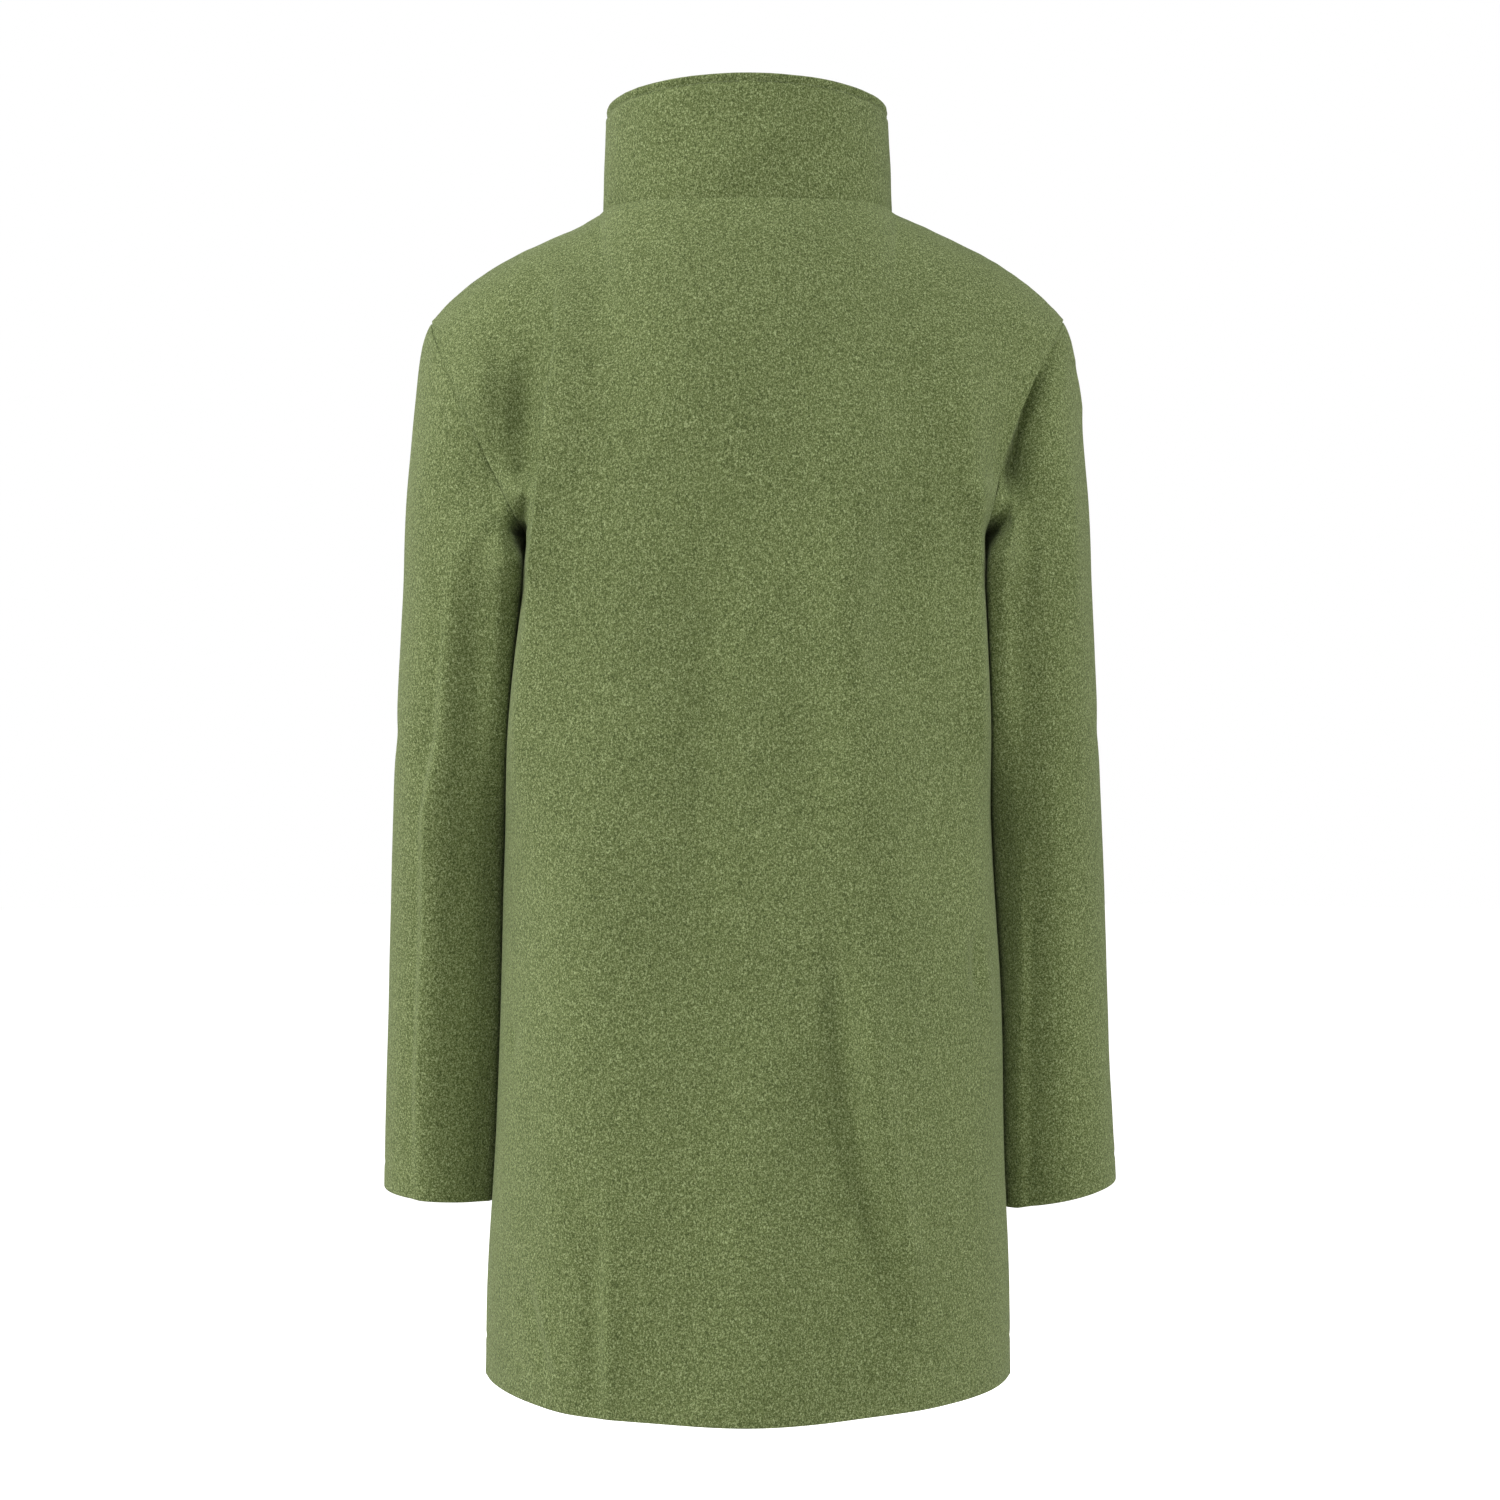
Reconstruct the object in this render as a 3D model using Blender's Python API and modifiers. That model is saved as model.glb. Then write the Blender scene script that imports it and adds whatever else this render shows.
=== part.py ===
import math

import bmesh
import bpy
import numpy as np

# The coat hangs filled out as on a wearer. Metres, +Z up, front to -Y, the wearer's left at +X.
# The origin is the middle of the neckline, level with the collar seam at the centre back.

SEAM_GAP = 0.0005
WALL = 0.0024
DOUBLE_WALL = 0.0046
HEM_Z = -0.766
HEM_TURN = 0.025
CUFF_TURN = 0.020
TURN_STEP = 0.003
UNDERARM_Z = -0.215

# Each front reaches past the centre line; the left one lies under the right one, set back by the step.
OVERLAP = 0.030
RECESSED_FROM = 0.037
OVERLAP_STEP = 0.0056
FRONT_TURN = 0.8 * math.pi

# Cells of the panel grids.
BACK_NECK_CELLS = 10
SHOULDER_CELLS = 8
FRONT_NECK_CELLS = 5
EDGE_CELLS = 2
SKIRT_CELLS = 18
ARMHOLE_CELLS = 10
CAP_CELLS = 6
SLEEVE_CELLS = 15
COLLAR_CELLS = 5
BACK_CELLS = 2 * SHOULDER_CELLS + BACK_NECK_CELLS
CURVE_SAMPLES = 240

# Level sections of the body: half widths to each side, depths from the side seams to the back and the front,
# and how square the rounded outline is (2 is an ellipse).
BODY_COLUMNS = ("z", "left", "right", "back", "front", "square")
BODY = (
    (-0.766, 0.1752, 0.1760, 0.1545, 0.1480, 1.95),
    (-0.700, 0.1738, 0.1750, 0.1490, 0.1465, 2.12),
    (-0.620, 0.1682, 0.1710, 0.1430, 0.1440, 2.35),
    (-0.520, 0.1640, 0.1690, 0.1365, 0.1400, 2.55),
    (-0.420, 0.1612, 0.1625, 0.1300, 0.1350, 2.75),
    (-0.320, 0.1553, 0.1590, 0.1240, 0.1310, 2.90),
    (-0.215, 0.1425, 0.1540, 0.1190, 0.1270, 3.00),
)

# The shoulder seam, from the neck to the sleeve head, with its height on each side.
SHOULDER_COLUMNS = ("x", "y", "left", "right")
SHOULDER = (
    (0.0980, 0.000, 0.0070, 0.0070),
    (0.1100, 0.000, -0.0005, 0.0025),
    (0.1300, 0.000, -0.0090, -0.0070),
    (0.1740, -0.001, -0.0310, -0.0300),
    (0.1990, -0.002, -0.0505, -0.0495),
    (0.2114, -0.003, -0.0640, -0.0630),
)

# Neckline and collar top edge: half width, depths to the back and the front, heights at side, back and front.
NECK = {"half_width": 0.0980, "back": 0.083, "front": 0.085, "z_side": 0.0070, "z_back": 0.0, "z_front": -0.045}
COLLAR_TOP = {"half_width": 0.0952, "back": 0.0870, "front": 0.083, "z_side": 0.0764, "z_back": 0.0795,
              "z_front": 0.050}
COLLAR_SQUARE = 2.0
FRONT_NECK_DIP = 1.7

# Where the cloth heads as it reaches the shoulder seam and the neckline, and as it leaves the underarm point.
SHOULDER_PULL = (0.0, -0.240, 0.060)
NECK_PULL = (0.0, -0.090, 0.190)
ARMHOLE_TOP_PULL = {"back": (0.050, -0.200, 0.055), "front": (0.034, -0.190, 0.060)}
ARMHOLE_FOOT_PULL = {"back": (0.005, 0.200, 0.030), "front": (-0.016, 0.190, 0.030)}
ARMHOLE_BOW = {"left": 0.0065, "right": -0.0035}
ARMHOLE_FAN = 8
ARMHOLE_FAN_POWER = 1.5

# Level sections of the sleeves: outer edge to each side, half depth, and the middle's place from front to back.
SLEEVE_COLUMNS = ("z", "left", "right", "half_depth", "y")
SLEEVE = (
    (-0.6526, 0.2484, 0.2519, 0.0540, -0.034),
    (-0.560, 0.2450, 0.2460, 0.0560, -0.026),
    (-0.460, 0.2414, 0.2419, 0.0590, -0.018),
    (-0.360, 0.2373, 0.2368, 0.0630, -0.010),
    (-0.240, 0.2305, 0.2305, 0.0690, -0.004),
)
SLEEVE_SQUARE = 2.0
BODY_CLEARANCE = 0.0015
SLEEVE_PRESS = 0.007
CUFF_RISE = {"left": 0.003, "right": 0.008}
CUFF_RISE_FADE = 0.12
CAP_LEAVES_TOP = (0.27, 0.0, -0.96)
CAP_LEAVES_FOOT = (0.85, 0.0, -0.53)

# Large soft folds of the back and the fronts: a line from top to foot in the panel's (x, z), the half width
# at each end, and the height, which is negative for a hollow.
FOLD_COLUMNS = ("x_top", "z_top", "x_foot", "z_foot", "wide_top", "wide_foot", "height")
BACK_FOLDS = (
    (0.127, -0.065, 0.133, -0.260, 0.012, 0.016, 0.0080),
    (0.148, -0.080, 0.146, -0.205, 0.012, 0.011, -0.0120),
    (-0.104, -0.095, -0.104, -0.260, 0.016, 0.018, -0.0060),
    (-0.104, -0.260, -0.126, -0.440, 0.018, 0.020, -0.0055),
    (-0.138, -0.090, -0.143, -0.210, 0.013, 0.013, 0.0050),
    (-0.074, -0.120, -0.082, -0.560, 0.018, 0.017, 0.0065),
    (-0.080, -0.500, -0.106, -0.760, 0.017, 0.016, 0.0070),
    (-0.036, -0.540, -0.100, -0.790, 0.014, 0.032, -0.0085),
    (0.004, -0.150, -0.002, -0.520, 0.040, 0.036, -0.0065),
    (0.004, -0.500, 0.046, -0.750, 0.020, 0.022, -0.0075),
    (-0.012, -0.530, 0.004, -0.770, 0.015, 0.024, 0.0060),
    (0.090, -0.340, 0.108, -0.790, 0.026, 0.022, 0.0065),
)
FRONT_FOLDS = (
    (0.110, -0.110, 0.118, -0.320, 0.020, 0.022, -0.0045),
    (-0.112, -0.100, -0.120, -0.330, 0.020, 0.022, -0.0040),
    (0.092, -0.330, 0.104, -0.790, 0.024, 0.036, 0.0060),
    (-0.088, -0.360, -0.108, -0.790, 0.024, 0.036, 0.0055),
    (0.062, -0.500, 0.066, -0.790, 0.016, 0.022, -0.0045),
    (-0.062, -0.520, -0.070, -0.790, 0.016, 0.022, -0.0045),
)
FOLD_STARTS = (-0.15, 0.20)
FOLD_ENDS = (0.90, 1.15)
FOLD_FADE_CELLS = 2.5
FOLD_FACING = (0.15, 0.75)

# A seam counts as a valley once its pieces rise this much from it; a leaning wall is thickened up to this lean.
VALLEY_RISE = 0.4
LEAST_LEAN = 0.6

BUTTON = {"radius": 0.0125, "thick": 0.0038, "well_radius": 0.0085, "well": 0.0010, "hole_radius": 0.0011,
          "hole_offset": 0.0024}
BUTTON_SIDES = 18
BUTTON_HOLE_SIDES = 6
BUTTON_GAP = 0.0005
BUTTON_HEIGHTS = (-0.078, -0.196, -0.314, -0.432, -0.550)

WOOL = {"colour": (0.158, 0.202, 0.082, 1.0), "roughness": 0.95}
HORN = {"colour": (0.060, 0.052, 0.030, 1.0), "roughness": 0.35}


def hermite(start, leave, end, arrive, t):
    return ((2 * t**3 - 3 * t**2 + 1) * start + (t**3 - 2 * t**2 + t) * leave
            + (3 * t**2 - 2 * t**3) * end + (t**3 - t**2) * arrive)


def smooth_step(low, high, value):
    t = np.clip((value - low) / (high - low), 0.0, 1.0)
    return t * t * (3 - 2 * t)


def unit(vectors):
    return vectors / np.linalg.norm(vectors, axis=-1, keepdims=True)


def read(table, columns, name, at):
    # Smooth value of one column at a place along the table's first column.
    rows = np.array(table)
    place, value = rows[:, 0], rows[:, columns.index(name)]
    slope = np.gradient(value, place)
    k = min(max(int(np.searchsorted(place, at)) - 1, 0), len(place) - 2)
    span = place[k + 1] - place[k]
    return hermite(value[k], slope[k] * span, value[k + 1], slope[k + 1] * span, (at - place[k]) / span)


def arc_lengths(points):
    return np.concatenate(([0.0], np.cumsum(np.linalg.norm(np.diff(points, axis=0), axis=1))))


def at_lengths(points, lengths):
    run = arc_lengths(points)
    return np.stack([np.interp(lengths, run, points[:, axis]) for axis in range(3)], axis=1)


def evenly(points, cells):
    return at_lengths(points, np.linspace(0.0, arc_lengths(points)[-1], cells + 1))


def rounded_outline(angles, half_left, half_right, back, front, square):
    cos, sin = np.cos(angles), np.sin(angles)
    power = 2.0 / square
    x = np.where(cos >= 0, half_left, half_right) * np.sign(cos) * np.abs(cos) ** power
    y = np.where(sin >= 0, back, front) * np.sign(sin) * np.abs(sin) ** power
    return x, y


def body_section(z, start, end):
    # The body's level outline at height z, between two angles counted from the left side seam over the back.
    sizes = [read(BODY, BODY_COLUMNS, name, z) for name in BODY_COLUMNS[1:]]
    x, y = rounded_outline(np.linspace(start, end, CURVE_SAMPLES), *sizes)
    return np.stack([x, y, np.full_like(x, z)], axis=1)


def body_side(side, y, z):
    # How far out the body's side stands at each of the places y along it.
    half, back, front, square = [read(BODY, BODY_COLUMNS, name, z) for name in (side, "back", "front", "square")]
    part_way = np.clip(np.abs(y) / np.where(y > 0, back, front), 0.0, 1.0)
    return half * (1 - part_way**square) ** (1 / square)


def steps_to_edge(to_centre, recessed, past, field_cells):
    # Grid places from a front's outer end to the centre line and on to its free edge.
    field = np.linspace(0.0, to_centre - recessed, field_cells + 1)
    own_edge = np.linspace(to_centre - recessed, to_centre, EDGE_CELLS + 1)
    beyond = np.linspace(to_centre, to_centre + past, EDGE_CELLS + 1)
    return np.concatenate([field, own_edge[1:], beyond[1:]])


def body_row(panel, z):
    # Every row runs as the garment's loop does: left front, back, right front.
    if panel == "back":
        return evenly(body_section(z, 0.0, math.pi), BACK_CELLS)
    start, turn = (0.0, -1.0) if panel == "front_left" else (math.pi, 1.0)
    quarter = body_section(z, start, start + turn * math.pi / 2)
    beyond = body_section(z, start + turn * math.pi / 2, start + turn * FRONT_TURN)
    to_centre = arc_lengths(quarter)[-1]
    places = steps_to_edge(to_centre, RECESSED_FROM, OVERLAP, SHOULDER_CELLS + FRONT_NECK_CELLS)
    row = at_lengths(np.concatenate([quarter, beyond[1:]]), places)
    return row[::-1] if panel == "front_left" else row


def neck_angles(panel):
    if panel == "back":
        return np.linspace(0.0, math.pi, BACK_NECK_CELLS + 1)
    radius = NECK["half_width"]
    turned = steps_to_edge(math.pi / 2, RECESSED_FROM / radius, OVERLAP / radius, FRONT_NECK_CELLS)
    return -turned[::-1] if panel == "front_left" else math.pi + turned


def neck_loop(sizes, angles):
    x, y = rounded_outline(angles, sizes["half_width"], sizes["half_width"], sizes["back"], sizes["front"],
                           COLLAR_SQUARE)
    sin = np.sin(angles)
    to_back = (sizes["z_back"] - sizes["z_side"]) * sin**2
    to_front = (sizes["z_front"] - sizes["z_side"]) * np.abs(sin) ** FRONT_NECK_DIP
    return np.stack([x, y, sizes["z_side"] + np.where(sin > 0, to_back, to_front)], axis=1)


def shoulder_line(side):
    # From the neck to the sleeve head.
    sign = 1.0 if side == "left" else -1.0
    xs = np.linspace(SHOULDER[0][0], SHOULDER[-1][0], CURVE_SAMPLES)
    line = [[sign * x, read(SHOULDER, SHOULDER_COLUMNS, "y", x), read(SHOULDER, SHOULDER_COLUMNS, side, x)]
            for x in xs]
    return evenly(np.array(line), SHOULDER_CELLS)


def top_row(panel):
    neck = neck_loop(NECK, neck_angles(panel))
    to_left, to_right = shoulder_line("left"), shoulder_line("right")
    if panel == "back":
        return np.concatenate([to_left[::-1][:-1], neck, to_right[1:]])
    if panel == "front_left":
        return np.concatenate([neck, to_left[1:]])
    return np.concatenate([to_right[::-1][:-1], neck])


def armhole_weights(panel, columns):
    # How much each column follows the left and the right armhole.
    fade = np.clip(1.0 - np.arange(columns) / ARMHOLE_FAN, 0.0, 1.0) ** ARMHOLE_FAN_POWER
    none = np.zeros(columns)
    return {"back": (fade, fade[::-1]), "front_left": (fade[::-1], none), "front_right": (none, fade)}[panel]


def upper_rows(panel, foot, below, top):
    # Each column rises from the underarm row over the shoulder blade or the chest to the top row.
    face = "back" if panel == "back" else "front"
    mirror = np.array([1.0, 1.0 if face == "back" else -1.0, 1.0])
    length = np.linalg.norm(top - foot, axis=1)[:, None]
    leave = unit(foot - below) * length
    lean = np.clip(np.abs(top[:, 1:2]) / NECK[face], 0.0, 1.0)
    arrive = ((1 - lean) * np.array(SHOULDER_PULL) + lean * np.array(NECK_PULL)) * mirror
    bow = np.zeros_like(foot)
    for weights, side, sign in zip(armhole_weights(panel, len(foot)), ("left", "right"), (1.0, -1.0)):
        weights = weights[:, None]
        to_side = np.array([sign, 1.0, 1.0]) * mirror
        leave = (1 - weights) * leave + weights * np.array(ARMHOLE_FOOT_PULL[face]) * to_side
        arrive = (1 - weights) * arrive + weights * np.array(ARMHOLE_TOP_PULL[face]) * to_side
        bow += weights * np.array([sign * ARMHOLE_BOW[side], 0.0, 0.0])
    climbs = [step / ARMHOLE_CELLS for step in range(1, ARMHOLE_CELLS + 1)]
    return [hermite(foot, leave, top, arrive, t) + bow * (4 * t * (1 - t)) ** 2 for t in climbs]


def skirt_heights():
    turned = [HEM_Z, HEM_Z + HEM_TURN, HEM_Z + HEM_TURN + TURN_STEP]
    return turned + list(np.linspace(turned[-1], UNDERARM_Z, SKIRT_CELLS + 1)[1:])


def body_grid(panel):
    # Rows from the hem up to the shoulder seams and the neckline.
    rows = [body_row(panel, z) for z in skirt_heights()]
    return np.array(rows + upper_rows(panel, rows[-1], rows[-2], top_row(panel)))


def collar_grid(left, back, right):
    # From the left front's end, round the back, to the right front's end.
    bottom = np.concatenate([left[-1, : -SHOULDER_CELLS], back[-1, SHOULDER_CELLS + 1: -SHOULDER_CELLS],
                             right[-1, SHOULDER_CELLS + 1:]])
    angles = np.concatenate([neck_angles("front_left"), neck_angles("back")[1:], neck_angles("front_right")[1:]])
    top = neck_loop(COLLAR_TOP, angles)
    return np.array([bottom + (top - bottom) * step / COLLAR_CELLS for step in range(COLLAR_CELLS + 1)])


def armhole_loop(side, back, front):
    # Once round from the underarm point, as the garment's loop runs; the last point meets the first.
    rise = slice(-ARMHOLE_CELLS - 1, None)
    if side == "left":
        return np.concatenate([front[rise, -1], back[rise, 0][::-1][1:-1]])
    return np.concatenate([back[rise, -1], front[rise, 0][::-1][1:-1]])


def sleeve_ring(side, z):
    # A level section, from its inner point beside the body, with as many points as the armhole loop.
    sign = 1.0 if side == "left" else -1.0
    outer, depth, middle_y = [read(SLEEVE, SLEEVE_COLUMNS, name, z) for name in (side, "half_depth", "y")]
    inner = read(BODY, BODY_COLUMNS, side, z) - SLEEVE_PRESS
    middle_x, half = (outer + inner) / 2, (outer - inner) / 2
    start = math.pi if side == "left" else 0.0
    halves = []
    for turn in (start, start + math.pi):
        angles = np.linspace(turn, turn + math.pi, CURVE_SAMPLES)
        x, y = rounded_outline(angles, half, half, depth, depth, SLEEVE_SQUARE)
        pressed = np.maximum(middle_x + sign * x, body_side(side, middle_y + y, z) + BODY_CLEARANCE)
        line = np.stack([sign * pressed, middle_y + y, np.full_like(x, z)], axis=1)
        halves.append(evenly(line, ARMHOLE_CELLS)[:-1])
    ring = np.concatenate(halves)
    rise = CUFF_RISE[side] * (1 - smooth_step(0.0, CUFF_RISE_FADE, z - SLEEVE[0][0]))
    ring[:, 2] += rise * (sign * ring[:, 0] - middle_x) / half
    return ring


def sleeve_grid(side, armhole):
    # Rows from the cuff up to the level of the underarm, then fanned out to the armhole.
    cuff = SLEEVE[0][0]
    turned = [cuff, cuff + CUFF_TURN, cuff + CUFF_TURN + TURN_STEP]
    heights = turned + list(np.linspace(turned[-1], SLEEVE[-1][0], SLEEVE_CELLS + 1)[1:])
    rows = [sleeve_ring(side, z) for z in heights]
    foot = rows[-1]
    sign = np.array([1.0 if side == "left" else -1.0, 1.0, 1.0])
    length = np.linalg.norm(armhole - foot, axis=1)[:, None]
    high = smooth_step(armhole[:, 2].min(), armhole[:, 2].max(), armhole[:, 2])[:, None]
    out = unit((1 - high) * np.array(CAP_LEAVES_FOOT) + high * np.array(CAP_LEAVES_TOP)) * sign
    leave = np.array([0.0, 0.0, 1.0]) * length
    rows += [hermite(foot, leave, armhole, -out * length, step / CAP_CELLS) for step in range(1, CAP_CELLS + 1)]
    return np.array(rows)


def corner_sums(grid, closed):
    # Cell normals summed at the grid's points; they point out, because rows run up and columns with the loop.
    if closed:
        grid = np.concatenate([grid, grid[:, :1]], axis=1)
    across, up = np.diff(grid, axis=1), np.diff(grid, axis=0)
    cells = np.cross(across[:-1] + across[1:], up[:, :-1] + up[:, 1:])
    sums = np.zeros_like(grid)
    for rows in (slice(0, -1), slice(1, None)):
        for columns in (slice(0, -1), slice(1, None)):
            sums[rows, columns] += cells
    if closed:
        sums[:, 0] += sums[:, -1]
        sums = sums[:, :-1]
    return sums


def is_tube(name):
    return name.startswith("sleeve")


def shared_normals(grids):
    # Outward normals, the same for every piece that meets at a seam point.
    own = {name: corner_sums(grid, is_tube(name)) for name, grid in grids.items()}
    at_point = {}
    for name, grid in grids.items():
        for point, normal in zip(grid.reshape(-1, 3), unit(own[name]).reshape(-1, 3)):
            key = tuple(np.round(point, 6))
            at_point[key] = at_point.get(key, 0.0) + normal
    shared = {}
    for name, grid in grids.items():
        normals = [at_point[tuple(np.round(point, 6))] for point in grid.reshape(-1, 3)]
        shared[name] = unit(np.array(normals)).reshape(grid.shape)
    return shared, {name: unit(normals) for name, normals in own.items()}


def fold_heights(grid, folds):
    # Sum of soft ridges and hollows; each fades out at both of its ends.
    total = np.zeros(grid.shape[:2])
    x, z = grid[..., 0], grid[..., 2]
    for row in folds:
        fold = dict(zip(FOLD_COLUMNS, row))
        along = (fold["z_top"] - z) / (fold["z_top"] - fold["z_foot"])
        held = np.clip(along, 0.0, 1.0)
        middle = fold["x_top"] + (fold["x_foot"] - fold["x_top"]) * held
        wide = fold["wide_top"] + (fold["wide_foot"] - fold["wide_top"]) * held
        ends = smooth_step(*FOLD_STARTS, along) * (1.0 - smooth_step(*FOLD_ENDS, along))
        total += fold["height"] * ends * np.exp(-0.5 * ((x - middle) / wide) ** 2)
    return total


def seam_fade(shape):
    # None at the side seams, the armholes and the top seams, full a few cells inside the panel.
    rows, columns = shape
    from_side = np.minimum(np.arange(columns), np.arange(columns)[::-1])
    from_top = np.arange(rows)[::-1]
    return (smooth_step(0, FOLD_FADE_CELLS, from_side)[None, :]
            * smooth_step(0, FOLD_FADE_CELLS, from_top)[:, None])


def recess(columns):
    # The left pieces' ends lie under the right ones: full over the edge cells, gone one cell further on.
    return np.where(np.arange(columns) <= 2 * EDGE_CELLS, -OVERLAP_STEP, 0.0)[None, :]


def reliefs(grids, normals):
    # Folds lie where the cloth faces back or front, not on the body's sides under the sleeves.
    relief = {name: np.zeros(grid.shape[:2]) for name, grid in grids.items()}
    for panel, folds in (("back", BACK_FOLDS), ("front_left", FRONT_FOLDS), ("front_right", FRONT_FOLDS)):
        facing = smooth_step(FOLD_FACING[0], FOLD_FACING[1], np.abs(normals[panel][..., 1]))
        relief[panel] += fold_heights(grids[panel], folds) * facing * seam_fade(facing.shape)
    for name in ("front_left", "collar"):
        relief[name] += recess(relief[name].shape[1])
    return relief


def wall_depths(name, shape):
    # Two layers at the hem, the cuffs and the front edges, and all over the collar.
    depth = np.full(shape, WALL)
    if name == "collar":
        return np.full(shape, DOUBLE_WALL)
    depth[:2] = DOUBLE_WALL
    if name == "front_left":
        depth[:, : 2 * EDGE_CELLS + 1] = DOUBLE_WALL
    if name == "front_right":
        depth[:, -2 * EDGE_CELLS - 1:] = DOUBLE_WALL
    return depth


def edges(closed):
    # Each edge of a grid with the line of points next to it.
    ends = [(np.s_[0], np.s_[1]), (np.s_[-1], np.s_[-2])]
    sides = [(np.s_[:, 0], np.s_[:, 1]), (np.s_[:, -1], np.s_[:, -2])]
    return ends if closed else ends + sides


def wall_directions(grid, shared, own, closed):
    # Pieces that meet flat or over a ridge share one direction; in a valley each keeps its own square edge.
    valley = np.zeros(grid.shape[:2])
    for edge, inside in edges(closed):
        rise = (shared[edge] * unit(grid[inside] - grid[edge])).sum(axis=-1)
        valley[edge] = np.maximum(valley[edge], smooth_step(0.0, VALLEY_RISE, rise))
    return unit(shared + valley[..., None] * own)


def pulled_back(grid, closed):
    # Half the seam gap off every edge, square to it and toward the panel's inside.
    moved = grid.copy()
    for edge, inside in edges(closed):
        line = grid[edge]
        along = np.roll(line, -1, axis=0) - np.roll(line, 1, axis=0) if closed else np.gradient(line, axis=0)
        along = unit(along)
        inward = grid[inside] - line
        inward -= (inward * along).sum(axis=-1, keepdims=True) * along
        moved[edge] += unit(inward) * SEAM_GAP / 2
    return moved


def material(name, look):
    made = bpy.data.materials.new(name)
    made.use_nodes = True
    shader = made.node_tree.nodes["Principled BSDF"]
    shader.inputs["Base Color"].default_value = look["colour"]
    shader.inputs["Roughness"].default_value = look["roughness"]
    shader.inputs["Metallic"].default_value = 0.0
    return made


def wall_object(name, outer, inner, closed, collection):
    # A cloth wall between two grids of points, closed along its free edges and seams.
    rows, columns = outer.shape[:2]
    bm = bmesh.new()
    skins = [[[bm.verts.new(point) for point in row] for row in grid] for grid in (outer, inner)]
    front, back = skins
    last = columns if closed else columns - 1
    for row in range(rows - 1):
        for column in range(last):
            beside = (column + 1) % columns
            bm.faces.new((front[row][column], front[row][beside], front[row + 1][beside], front[row + 1][column]))
            bm.faces.new((back[row][beside], back[row][column], back[row + 1][column], back[row + 1][beside]))
    rims = [[(row, column) for column in range(columns)] for row in (0, rows - 1)]
    if closed:
        rims = [rim + rim[:1] for rim in rims]
    else:
        rims = [rims[0] + [(row, columns - 1) for row in range(1, rows)]
                + rims[1][::-1][1:] + [(row, 0) for row in range(rows - 2, -1, -1)]]
    for rim in rims:
        for (row, column), (next_row, next_column) in zip(rim, rim[1:]):
            bm.faces.new((front[row][column], back[row][column], back[next_row][next_column],
                          front[next_row][next_column]))
    bmesh.ops.recalc_face_normals(bm, faces=bm.faces)
    mesh = bpy.data.meshes.new(name)
    bm.to_mesh(mesh)
    bm.free()
    mesh.shade_smooth()
    mesh.set_sharp_from_angle(angle=math.radians(50))
    wall = bpy.data.objects.new(name, mesh)
    wall.data.materials.append(material(name, WOOL))
    collection.objects.link(wall)
    return wall


def cloth_grids():
    grids = {panel: body_grid(panel) for panel in ("back", "front_left", "front_right")}
    grids["collar"] = collar_grid(grids["front_left"], grids["back"], grids["front_right"])
    for side in ("left", "right"):
        armhole = armhole_loop(side, grids["back"], grids["front_" + side])
        grids["sleeve_" + side] = sleeve_grid(side, armhole)
    return grids


def add_cloth(collection):
    grids = cloth_grids()
    normals = shared_normals(grids)[0]
    relief = reliefs(grids, normals)
    grids = {name: grid + normals[name] * relief[name][..., None] for name, grid in grids.items()}
    shared, own = shared_normals(grids)
    for name, grid in grids.items():
        direction = wall_directions(grid, shared[name], own[name], is_tube(name))
        lean = np.clip((direction * own[name]).sum(axis=-1), LEAST_LEAN, 1.0)
        depth = wall_depths(name, grid.shape[:2]) / lean
        outer = pulled_back(grid, is_tube(name))
        inner = pulled_back(grid - direction * depth[..., None], is_tube(name))
        wall_object(name, outer, inner, is_tube(name), collection)


def button_cutter(name, angle, collection):
    offset = BUTTON["hole_offset"]
    bpy.ops.mesh.primitive_cylinder_add(vertices=BUTTON_HOLE_SIDES, radius=BUTTON["hole_radius"],
                                        depth=3 * BUTTON["thick"],
                                        location=(offset * math.cos(angle), offset * math.sin(angle), 0.0))
    cutter = bpy.context.object
    cutter.name = name
    cutter.hide_render = True
    cutter.display_type = "WIRE"
    for other in list(cutter.users_collection):
        other.objects.unlink(cutter)
    collection.objects.link(cutter)
    return cutter


def button_mesh(cutters):
    # A turned disc with a shallow well and four thread holes, its back at z = 0 and facing +Z.
    size = BUTTON
    profile = [(0.0, size["thick"] - size["well"]), (size["well_radius"], size["thick"] - size["well"]),
               (size["well_radius"] + size["well"], size["thick"]), (size["radius"] - size["well"], size["thick"]),
               (size["radius"], size["thick"] / 2), (size["radius"] - size["well"], 0.0), (0.0, 0.0)]
    mesh = bpy.data.meshes.new("button_profile")
    mesh.from_pydata([(x, 0.0, z) for x, z in profile], [(k, k + 1) for k in range(len(profile) - 1)], [])
    disc = bpy.data.objects.new("button_blank", mesh)
    bpy.context.scene.collection.objects.link(disc)
    screw = disc.modifiers.new("turn", "SCREW")
    screw.axis = "Z"
    screw.steps = screw.render_steps = BUTTON_SIDES
    screw.use_merge_vertices = True
    screw.merge_threshold = 0.00005
    screw.use_normal_calculate = True
    for cutter in cutters:
        cut = disc.modifiers.new("thread_hole", "BOOLEAN")
        cut.operation = "DIFFERENCE"
        cut.object = cutter
    bpy.context.view_layer.update()
    evaluated = disc.evaluated_get(bpy.context.evaluated_depsgraph_get())
    finished = bpy.data.meshes.new_from_object(evaluated)
    bpy.data.objects.remove(disc)
    return finished


def front_middle(z):
    # How far forward the right front's outer face lies on the centre line at height z.
    column = np.array([row[-EDGE_CELLS - 1] for row in body_grid("front_right")])
    return float(np.interp(z, column[:, 2], column[:, 1]))


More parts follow.
